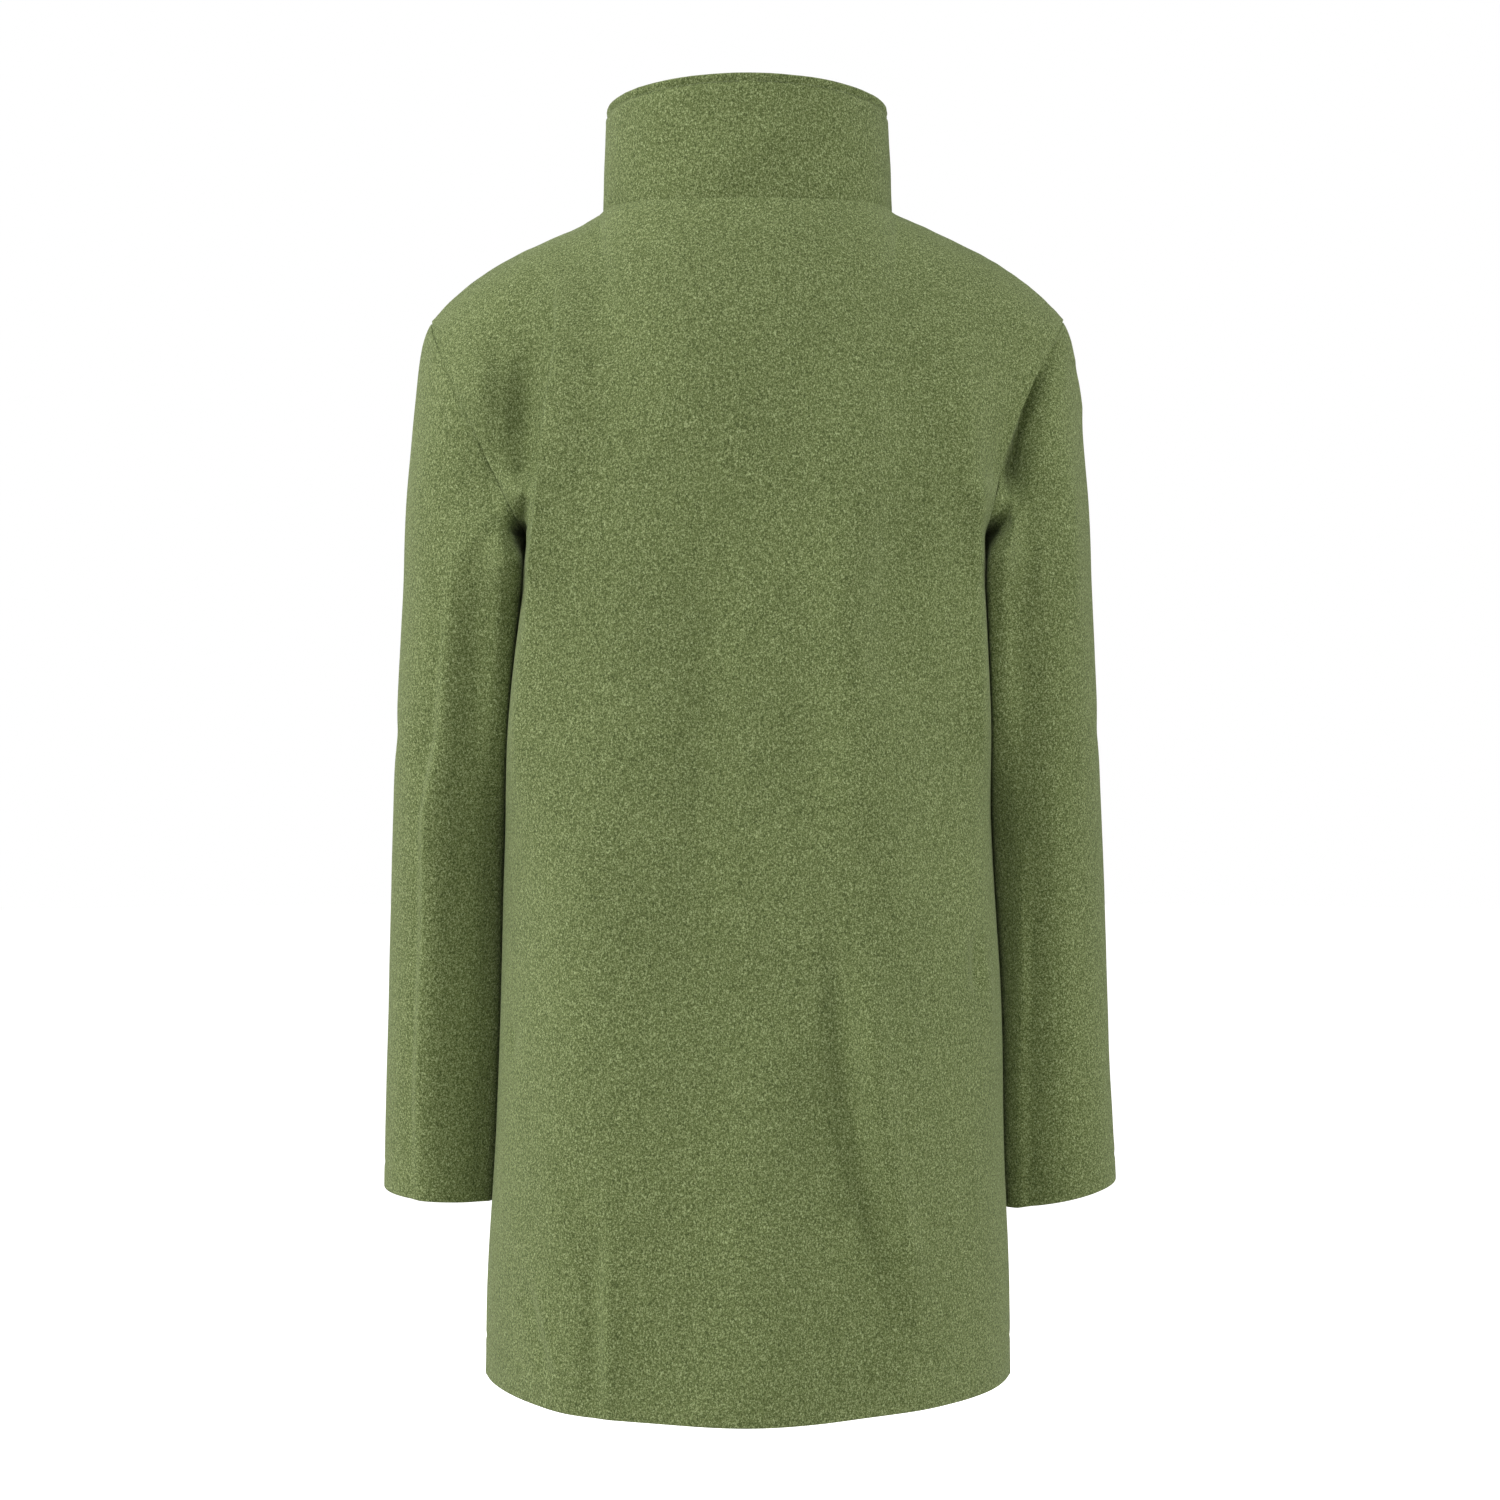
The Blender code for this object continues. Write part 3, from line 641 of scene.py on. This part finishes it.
def calmInner(points, outward):
    # the sleeve's side toward the body stays smooth, and its outer side nearly so
    outside = np.sign(points[:, 0].mean()) * outward[:, 0]
    inner = smoothStep(*stillParts["sleeveInside"], -outside)
    return 1.0 - inner - stillParts["outsideShare"] * smoothStep(*stillParts["sleeveOutside"], outside)


def calmNowhere(points, outward):
    return np.ones(len(points))


def clothPiece(name, node, folds, calm, rows, step=0.0, rests=()):
    mesh, lines, outwardAt = smoothedSolid(node)
    foldCloth(mesh, lines, outwardAt, folds, calm, rows, step, rests)
    mesh.materials.clear()
    mesh.polygons.foreach_set("material_index", [0] * len(mesh.polygons))
    mesh.materials.append(wool)
    mesh.shade_smooth()
    piece = bpy.data.objects.new(name, mesh)
    bpy.context.scene.collection.objects.link(piece)
    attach(piece, "root")
    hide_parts(node)
    print("sewn:", name, len(mesh.polygons), "faces")
    return piece, lines


surfaces = {node: surfaceOf(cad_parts[node].data) for node in clothNodes}

# armpits: line of (across, up) points, half width, height toward the back
armpitFills = [
    ([(0.1450, -0.130), (0.1480, -0.200), (0.1510, -0.260), (0.1580, -0.420)], 0.012, 0.024),
    ([(-0.1600, -0.150), (-0.1620, -0.200), (-0.1570, -0.250), (-0.1600, -0.400)], 0.010, 0.024),
    ([(0.1450, -0.170), (0.1470, -0.255)], 0.0100, 0.014),
    ([(-0.1580, -0.170), (-0.1570, -0.250)], 0.0095, 0.014),
    ([(0.1830, -0.070), (0.1740, -0.120), (0.1660, -0.180), (0.1640, -0.260)], 0.015, 0.015),
]

# folds: side it is seen from, line of (across, up) points, half width, height, fade from the seam
# and, where it drops beside the line, how far it runs to climb back
backFolds = [
    ("back", [(0.1235, -0.040), (0.1265, -0.120), (0.1320, -0.195), (0.1365, -0.240), (0.1400, -0.290)],
     0.0045, -0.0140, 0.005, 0.028),
    ("back", [(0.1160, -0.050), (0.1210, -0.110), (0.1260, -0.190), (0.1300, -0.250), (0.1320, -0.330),
              (0.1340, -0.460)], 0.0140, 0.0060, 0.004),
    ("back", [(-0.0640, -0.170), (-0.0600, -0.260), (-0.0640, -0.340), (-0.0700, -0.440)],
     0.0110, 0.0052, 0.020),
    ("back", [(-0.0980, -0.170), (-0.0900, -0.260), (-0.0860, -0.340)], 0.0120, -0.0056, 0.020),
    ("back", [(0.0180, -0.180), (0.0220, -0.280), (0.0300, -0.420), (0.0260, -0.560)],
     0.0130, -0.0044, 0.020),
    ("back", [(0.1500, -0.078), (0.1535, -0.120), (0.1560, -0.160)], 0.0050, 0.0018, 0.004),
    ("back", [(0.1290, -0.030), (0.1440, -0.062), (0.1530, -0.090)], 0.0060, -0.0016, 0.008),
    ("back", [(-0.136, -0.100), (-0.141, -0.165), (-0.147, -0.215)], 0.0060, 0.0015, 0.008),
    ("back", [(0.1410, -0.685), (0.1330, -0.712), (0.1230, -0.750)], 0.0040, -0.0022, 0.020),
    ("back", [(0.1350, -0.680), (0.1270, -0.712), (0.1180, -0.752)], 0.0035, 0.0020, 0.020),
    ("back", [(0.0853, -0.640), (0.0853, -0.778)], 0.0042, 0.0036, 0.010),
    ("back", [(0.0960, -0.640), (0.0945, -0.778)], 0.0055, -0.0034, 0.010),
    ("back", [(0.1090, -0.590), (0.0930, -0.690)], 0.0090, -0.0030, 0.020),
    ("back", [(-0.0640, -0.440), (-0.0740, -0.500), (-0.0800, -0.560), (-0.0880, -0.618), (-0.0990, -0.665),
              (-0.1090, -0.735)], 0.0065, 0.0066, 0.020),
    ("back", [(-0.0480, -0.440), (-0.0570, -0.500), (-0.0620, -0.560), (-0.0710, -0.618), (-0.0820, -0.665),
              (-0.0930, -0.735)], 0.0075, -0.0058, 0.020),
    ("back", [(-0.0330, -0.330), (-0.0500, -0.440)], 0.0120, -0.0018, 0.020),
    ("back", [(-0.1470, -0.464), (-0.1470, -0.512)], 0.0030, -0.0036, 0.003),
    ("back", [(-0.1530, -0.480), (-0.1560, -0.540)], 0.0030, 0.0018, 0.003),
    ("back", [(0.1500, -0.526), (0.1530, -0.552)], 0.0030, -0.0022, 0.003),
]
leftFrontFolds = [
    ("front", [(0.134, -0.095), (0.139, -0.150), (0.146, -0.210)], 0.0070, -0.0035, 0.008),
    ("front", [(0.120, -0.090), (0.126, -0.200)], 0.0060, 0.0022, 0.010),
    ("front", [(0.094, -0.660), (0.088, -0.775)], 0.0070, 0.0026, 0.020),
    ("front", [(0.124, -0.640), (0.116, -0.765)], 0.0065, -0.0026, 0.020),
]
rightFrontFolds = [
    ("front", [(-0.136, -0.095), (-0.142, -0.150), (-0.149, -0.210)], 0.0070, -0.0032, 0.008),
    ("front", [(-0.122, -0.100), (-0.130, -0.210)], 0.0060, 0.0020, 0.010),
    ("front", [(-0.100, -0.640), (-0.092, -0.775)], 0.0070, -0.0028, 0.020),
    ("front", [(-0.128, -0.650), (-0.120, -0.765)], 0.0065, 0.0024, 0.020),
]
collarFolds = [
    ("back", [(0.034, 0.012), (-0.052, 0.050)], 0.010, 0.0016, 0.012),
    ("back", [(-0.010, 0.022), (-0.065, 0.036)], 0.009, -0.0016, 0.012),
    ("back", [(0.060, 0.020), (0.030, 0.044)], 0.008, -0.0010, 0.012),
    ("front", [(0.056, -0.010), (0.020, 0.020)], 0.010, -0.0014, 0.012),
    ("front", [(-0.060, -0.014), (-0.018, 0.012)], 0.010, 0.0014, 0.012),
]
leftSleeveFolds = [
    ("back", [(0.1900, -0.170), (0.1953, -0.262), (0.2012, -0.334), (0.2120, -0.3955), (0.2135, -0.468),
              (0.2161, -0.514), (0.2194, -0.583), (0.2210, -0.720)], 0.0080, 0.0055, 0.010, -0.028),
    ("back", [(0.1620, -0.1930), (0.1700, -0.2090), (0.1880, -0.2320)], 0.0045, 0.0028, 0.004),
    ("back", [(0.196, -0.330), (0.222, -0.372)], 0.0070, -0.0018, 0.010),
    ("back", [(0.1900, -0.090), (0.1830, -0.140), (0.1730, -0.190)], 0.0050, -0.0016, 0.006),
    ("front", [(0.188, -0.280), (0.222, -0.330)], 0.0080, -0.0030, 0.010),
    ("front", [(0.186, -0.325), (0.216, -0.368)], 0.0070, -0.0024, 0.010),
    ("front", [(0.204, -0.150), (0.208, -0.260)], 0.0080, 0.0022, 0.010),
    ("left", [(-0.020, -0.330), (0.016, -0.350)], 0.0080, -0.0012, 0.010),
]
rightSleeveFolds = [
    ("back", [(-0.1990, -0.060), (-0.1890, -0.100), (-0.1695, -0.150), (-0.1570, -0.200),
              (-0.1530, -0.245)], 0.0070, -0.0135, 0.004, -0.022),
    ("back", [(-0.1830, -0.400), (-0.1850, -0.500), (-0.1852, -0.580), (-0.1870, -0.720)],
     0.0060, 0.0050, 0.010, 0.022),
    ("back", [(-0.2085, -0.140), (-0.212, -0.290)], 0.0060, 0.0024, 0.010),
    ("back", [(-0.200, -0.350), (-0.206, -0.520)], 0.0090, 0.0016, 0.010),
    ("front", [(-0.190, -0.285), (-0.224, -0.325)], 0.0080, -0.0030, 0.010),
    ("front", [(-0.188, -0.335), (-0.220, -0.372)], 0.0070, -0.0022, 0.010),
    ("front", [(-0.206, -0.140), (-0.210, -0.250)], 0.0080, 0.0020, 0.010),
    ("right", [(-0.018, -0.345), (0.014, -0.330)], 0.0080, -0.0012, 0.010),
]

# stitched rows: measured from, how far, levels where it is absent and where it is full, depth, tufts
collarRows = [("edge", stitching["fromEdge"], (0.020, 0.045), 0.00130, 0.00080)]
hemRow = ("hem", 0.025, (-0.700, -0.720), 0.00045, 0.00025)
frontRows = [hemRow, ("edge", stitching["fromEdge"], (-0.735, -0.715), 0.00060, 0.00040)]
cuffRows = [("edge", 0.018, (-0.600, -0.620), 0.00045, 0.00030)]
# how far the cloth rises on the body and sinks on the sleeves along an armhole
bodyStep, leftStep, rightStep = 0.0008, -0.0012, -0.0018

backCloth, _ = clothPiece("cloth_back", "back", backFolds, calmSides, [hemRow], bodyStep)
frontLeft, _ = clothPiece("cloth_front_left", "front_left", leftFrontFolds, calmSides, frontRows, bodyStep)
frontRight, _ = clothPiece("cloth_front_right", "front_right", rightFrontFolds, calmSides, frontRows,
                           bodyStep)
collar, collarLines = clothPiece("cloth_collar", "collar", collarFolds, calmNowhere, collarRows)
backSkin, leftSkin, rightSkin = [surfaceOf(piece.data) for piece in (backCloth, frontLeft, frontRight)]
sleeveLeft, _ = clothPiece("cloth_sleeve_left", "sleeve_left", leftSleeveFolds, calmInner, cuffRows,
                           leftStep, [backSkin, leftSkin])
sleeveRight, _ = clothPiece("cloth_sleeve_right", "sleeve_right", rightSleeveFolds, calmInner, cuffRows,
                            rightStep, [backSkin, rightSkin])
print("cloth sewn and folded")


def addPiece(name, bm, material, replaced=None):
    mesh = bpy.data.meshes.new(name)
    bm.to_mesh(mesh)
    bm.free()
    mesh.materials.clear()
    mesh.materials.append(material)
    mesh.shade_smooth()
    piece = bpy.data.objects.new(name, mesh)
    bpy.context.scene.collection.objects.link(piece)
    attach(piece, "root")
    if replaced:
        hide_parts(replaced)
    return piece


def addStitch(bm, start, end, radius):
    # one stitch, fuller in the middle
    run = end - start
    turn = run.to_track_quat("Z", "Y").to_matrix().to_4x4()
    shape = Matrix.Diagonal((radius, radius, run.length / 2, 1.0))
    place = Matrix.Translation((start + end) / 2) @ turn @ shape
    bmesh.ops.create_uvsphere(bm, u_segments=6, v_segments=4, radius=1.0, matrix=place)


def stitchAlong(bm, line):
    # line: (place, outward) pairs close together, in order; each stitch lies a little sunk in the cloth
    pitch, length, radius = stitching["pitch"], stitching["length"], stitching["threadRadius"]
    places = np.array([place + outward * radius * 0.5 for place, outward in line])
    runs = np.concatenate(([0.0], np.cumsum(np.linalg.norm(np.diff(places, axis=0), axis=1))))

    def placeAt(at):
        return Vector([np.interp(at, runs, places[:, axis]) for axis in range(3)])

    for start in np.arange(0.0, runs[-1] - length, pitch):
        addStitch(bm, placeAt(start), placeAt(start + length), radius)


# the cloth under each row is found by rays that start this far out and reach this far
collarRow = {
    "edgeAbove": 0.045,      # the collar's top edge lies higher than this
    "endsFree": 0.06,        # radians left unstitched at each end
    "points": 400,
    "rayFrom": 0.25,
    "rayLength": 0.3,
}
frontRow = {"across": 0.0242, "top": -0.056, "foot": -0.757, "points": 500, "rayFrom": 0.30, "rayLength": 0.5}


def roundTheCollar():
    # round the neck from one end of the collar to the other, level with the stitched groove
    skin = surfaceOf(collar.data)
    tops = [point for point in collarLines["free"] if point.z > collarRow["edgeAbove"]]
    angles = np.array([math.atan2(point.x, -point.y) for point in tops])
    heights = np.array([point.z for point in tops])[np.argsort(angles)]
    angles = np.sort(angles)
    first, last = angles[0] + collarRow["endsFree"], angles[-1] - collarRow["endsFree"]
    line = []
    for angle in np.linspace(first, last, collarRow["points"]):
        height = float(np.interp(angle, angles, heights)) - stitching["fromEdge"]
        away = Vector((math.sin(angle), -math.cos(angle), 0.0))
        start = away * collarRow["rayFrom"] + Vector((0.0, 0.0, height))
        place, outward, _, _ = skin.ray_cast(start, -away, collarRow["rayLength"])
        if place is not None:
            line.append((place, outward))
    return line


def onFront(across, up):
    start = Vector((across, -frontRow["rayFrom"], up))
    place, outward, _, _ = rightSkin.ray_cast(start, Vector((0.0, 1.0, 0.0)), frontRow["rayLength"])
    return place, outward


bm = bmesh.new()
stitchAlong(bm, roundTheCollar())
addPiece("topstitch_collar", bm, thread)
bm = bmesh.new()
levels = np.linspace(frontRow["top"], frontRow["foot"], frontRow["points"])
stitchAlong(bm, [onFront(frontRow["across"], up) for up in levels])
addPiece("topstitch_front", bm, thread)
print("edges topstitched")

buttonForm = {
    # turned outline: (radius, height over the button's back)
    "outline": [(0.0, 0.0027), (0.0074, 0.0027), (0.0084, 0.0030), (0.0091, 0.0036), (0.0098, 0.0038),
                (0.0110, 0.0038), (0.0119, 0.0035), (0.0125, 0.0027), (0.0125, 0.0015), (0.0120, 0.0005),
                (0.0110, 0.0), (0.0, 0.0)],
    "thick": 0.0038,
    "steps": 56,
    "holeRadius": 0.0010,
    "holeOffset": 0.0017,    # across and up from the middle
    "holeSides": 14,
    "softEdge": 0.00018,
    "softFrom": 40.0,        # degrees: edges that turn less are left alone
    "strandRadius": 0.00022,
    "strandPitch": 1.7,      # times that radius, between the strands side by side
    "shankRadius": 0.0016,
    "shankEnds": (-0.0012, 0.0010),   # over the button's back
}
buttonNumbers = range(1, 6)


def buttonMesh():
    # a turned disc with four drilled holes, its back at z = 0
    form = buttonForm
    bm = bmesh.new()
    points = [bm.verts.new((radius, 0.0, height)) for radius, height in form["outline"]]
    rim = [bm.edges.new(pair) for pair in zip(points, points[1:])]
    bmesh.ops.spin(bm, geom=points + rim, cent=(0, 0, 0), axis=(0, 0, 1), angle=math.tau, steps=form["steps"],
                   use_merge=True)
    bmesh.ops.remove_doubles(bm, verts=bm.verts, dist=0.00001)
    bmesh.ops.recalc_face_normals(bm, faces=bm.faces)
    disc = bpy.data.objects.new("button_disc", bpy.data.meshes.new("button_disc"))
    bm.to_mesh(disc.data)
    bm.free()
    bm = bmesh.new()
    for across, up in ((1, 1), (-1, 1), (-1, -1), (1, -1)):
        place = Matrix.Translation((across * form["holeOffset"], up * form["holeOffset"], form["thick"] / 2))
        bmesh.ops.create_cone(bm, cap_ends=True, segments=form["holeSides"], radius1=form["holeRadius"],
                              radius2=form["holeRadius"], depth=3 * form["thick"], matrix=place)
    drills = bpy.data.objects.new("button_drills", bpy.data.meshes.new("button_drills"))
    bm.to_mesh(drills.data)
    bm.free()
    for obj in (disc, drills):
        bpy.context.scene.collection.objects.link(obj)
    cut = disc.modifiers.new("drilled", "BOOLEAN")
    cut.object = drills
    soft = disc.modifiers.new("polished", "BEVEL")
    soft.limit_method = "ANGLE"
    soft.angle_limit = math.radians(form["softFrom"])
    soft.width = form["softEdge"]
    soft.segments = 2
    mesh = evaluatedMesh(disc)
    bpy.data.objects.remove(drills)
    return mesh


def buttonPlace(node):
    # middle of the button's back and its facing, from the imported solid
    points = np.array([v.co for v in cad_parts[node].data.vertices])
    middle = (points.min(axis=0) + points.max(axis=0)) / 2
    facing = np.linalg.eigh(np.cov((points - middle).T))[1][:, 0]
    facing *= -np.sign(facing[1])
    depths = (points - middle) @ facing
    upright = Vector((0.0, 0.0, 1.0))
    forward = Vector(facing)
    across = upright.cross(forward).normalized()
    turn = Matrix((across, forward.cross(across), forward)).transposed().to_4x4()
    return Matrix.Translation(Vector(middle + facing * depths.min())) @ turn


def sewOn(bm, place):
    # three strands through each pair of holes, and the shank behind the button
    form = buttonForm
    hole, radius = form["holeOffset"], form["strandRadius"]
    lift = form["outline"][0][1] + radius
    for column in (-hole, hole):
        for strand in (-1, 0, 1):
            across = column + strand * form["strandPitch"] * radius
            addStitch(bm, place @ Vector((across, -hole, lift)), place @ Vector((across, hole, lift)), radius)
    low, high = form["shankEnds"]
    addStitch(bm, place @ Vector((0.0, 0.0, low)), place @ Vector((0.0, 0.0, high)), form["shankRadius"])


disc = buttonMesh()
threads = bmesh.new()
for number in buttonNumbers:
    node = f"button_{number}"
    place = buttonPlace(node)
    bm = bmesh.new()
    bm.from_mesh(disc)
    bm.transform(place)
    addPiece(f"turned_button_{number}", bm, horn, node)
    sewOn(threads, place)
addPiece("button_threads", threads, thread)
print("buttons turned and sewn on")

buttonhole = {
    "ends": (0.003, -0.024),   # along the front, from the button's middle
    "lip": 0.0009,             # half the width between the two rows of purls
    "purlLength": 0.0019,
    "purlPitch": 0.00075,
    "purlRadius": 0.00033,
    "purlLift": 0.6,           # times that radius, off the cloth
}


def addButtonhole(bm, up):
    # purls side by side along the upper lip, round the outer end, back along the lower lip and round
    form = buttonhole
    inner, outer = form["ends"]
    straight = inner - outer
    turn = math.pi * form["lip"]
    length = 2 * (straight + turn)
    for at in np.arange(0.0, length, form["purlPitch"]):
        if at < straight:
            across, rise, away = inner - at, form["lip"], (0.0, 1.0)
        elif at < straight + turn:
            angle = (at - straight) / form["lip"]
            away = (-math.sin(angle), math.cos(angle))
            across, rise = outer + form["lip"] * away[0], form["lip"] * away[1]
        elif at < 2 * straight + turn:
            across, rise, away = outer + (at - straight - turn), -form["lip"], (0.0, -1.0)
        else:
            angle = (at - 2 * straight - turn) / form["lip"]
            away = (math.sin(angle), -math.cos(angle))
            across, rise = inner + form["lip"] * away[0], form["lip"] * away[1]
        half = form["purlLength"] / 2
        ends = []
        for reach in (-half, half):
            place, outward = onFront(across + away[0] * reach, up + rise + away[1] * reach)
            ends.append(place + outward * form["purlRadius"] * form["purlLift"])
        addStitch(bm, ends[0], ends[1], form["purlRadius"])


bm = bmesh.new()
for number in buttonNumbers:
    low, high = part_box(f"button_{number}")
    addButtonhole(bm, (low[2] + high[2]) / 2)
addPiece("buttonholes", bm, thread)
print("buttonholes worked")

# a pale floor and soft light
room = {
    "floor": -1.30,          # the hem hangs half a metre above it
    "floorRadius": 14.0,
    "floorSides": 96,
    "floorColour": "#f4f3ef",
    "floorRoughness": 0.7,
    "floorGlow": 0.95,       # to the camera alone, so that floor and wall meet without a line
    "skyColour": "#ffffff",
    "skyStrength": 0.24,
    "wallStrength": 1.0,
    "lights": [
        # place, size, watts
        ("sideKey", (2.70, 0.85, 0.70), 0.7, 54.0),
        ("topKey", (0.20, 1.20, 2.80), 1.4, 55.0),
        ("fill", (-1.00, 2.80, 0.00), 2.0, 13.0),
        ("rimLeft", (2.60, -0.70, 0.20), 1.4, 12.0),
        ("rimRight", (-2.70, 0.70, 0.30), 1.0, 32.0),
        ("front", (0.40, -2.60, 0.60), 1.8, 26.0),
    ],
    "aim": (0.0, 0.0, -0.36),
}


def addFloor():
    bm = bmesh.new()
    bmesh.ops.create_circle(bm, cap_ends=True, radius=room["floorRadius"], segments=room["floorSides"])
    bmesh.ops.translate(bm, verts=bm.verts, vec=(0.0, 0.0, room["floor"]))
    mesh = bpy.data.meshes.new("floor")
    bm.to_mesh(mesh)
    bm.free()
    floor = bpy.data.objects.new("floor", mesh)
    bpy.context.scene.collection.objects.link(floor)
    material, tree, shader = newMaterial("pale_painted_floor")
    shader.inputs["Base Color"].default_value = linearColour(room["floorColour"])
    shader.inputs["Roughness"].default_value = room["floorRoughness"]
    shader.inputs["Emission Color"].default_value = (1.0, 1.0, 1.0, 1.0)
    toCamera = addNode(tree, "ShaderNodeLightPath").outputs["Is Camera Ray"]
    glow = addNode(tree, "ShaderNodeMath", {"operation": "MULTIPLY"}, values={1: room["floorGlow"]},
                   links={0: toCamera})
    tree.links.new(glow.outputs[0], shader.inputs["Emission Strength"])
    mesh.materials.append(material)


def addLights():
    scene = bpy.context.scene
    for name, place, size, watts in room["lights"]:
        light = bpy.data.lights.new(name, "AREA")
        light.size = size
        light.energy = watts
        lamp = bpy.data.objects.new(name, light)
        lamp.location = place
        lamp.rotation_euler = (Vector(room["aim"]) - Vector(place)).to_track_quat("-Z", "Y").to_euler()
        scene.collection.objects.link(lamp)
    world = bpy.data.worlds.new("studio")
    scene.world = world
    world.use_nodes = True
    background = world.node_tree.nodes["Background"]
    background.inputs["Color"].default_value = linearColour(room["skyColour"])
    toCamera = addNode(world.node_tree, "ShaderNodeLightPath").outputs["Is Camera Ray"]
    strength = addNode(world.node_tree, "ShaderNodeMapRange",
                       values={"To Min": room["skyStrength"], "To Max": room["wallStrength"]},
                       links={"Value": toCamera})
    world.node_tree.links.new(strength.outputs["Result"], background.inputs["Strength"])
    scene.view_settings.view_transform = "Standard"


addFloor()
addLights()
print("room lit")
